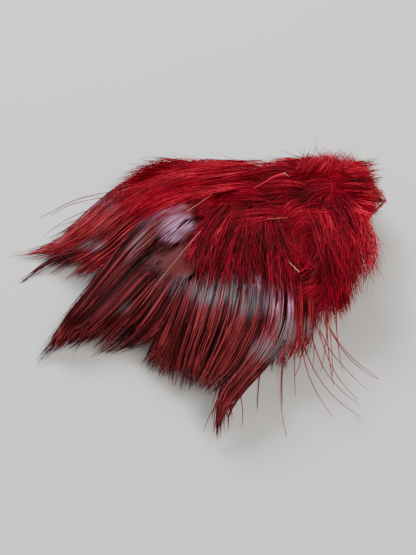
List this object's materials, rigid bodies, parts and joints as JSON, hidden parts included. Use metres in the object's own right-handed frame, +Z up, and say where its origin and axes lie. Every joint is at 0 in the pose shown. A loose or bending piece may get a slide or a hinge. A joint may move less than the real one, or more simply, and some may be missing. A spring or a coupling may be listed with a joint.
{
  "type": "strung pheasant rump feathers",
  "caption": "Loose fan of dyed pheasant rump feathers with their quill butts bound together by thread, lying flat on a surface.",
  "frame": {"origin": "centre of the footprint, at the level of the surface that the feathers lie on", "axes": "+Z up from the surface, +X along the bundle towards the bound quill butts, +Y across it towards the far side"},
  "size_m": [0.0958, 0.0924, 0.0188],
  "materials": {
    "feather": "dyed crimson feather, fluffy and matt at the butt, with a glossy lilac and teal sheen two thirds of the way up and dark maroon tips",
    "thread": "matt twisted cotton, stained by the dye"
  },
  "bodies": {
    "root": {"feather_01": "feather", "feather_02": "feather", "feather_03": "feather", "feather_04": "feather", "feather_05": "feather", "feather_06": "feather", "feather_07": "feather", "feather_08": "feather", "feather_09": "feather", "feather_10": "feather", "feather_11": "feather", "feather_12": "feather", "feather_13": "feather", "feather_14": "feather", "feather_15": "feather", "feather_16": "feather", "feather_17": "feather", "feather_18": "feather", "feather_19": "feather", "feather_20": "feather", "feather_21": "feather", "feather_22": "feather", "feather_23": "feather", "feather_24": "feather", "thread": "thread"}
  },
  "joints": []
}
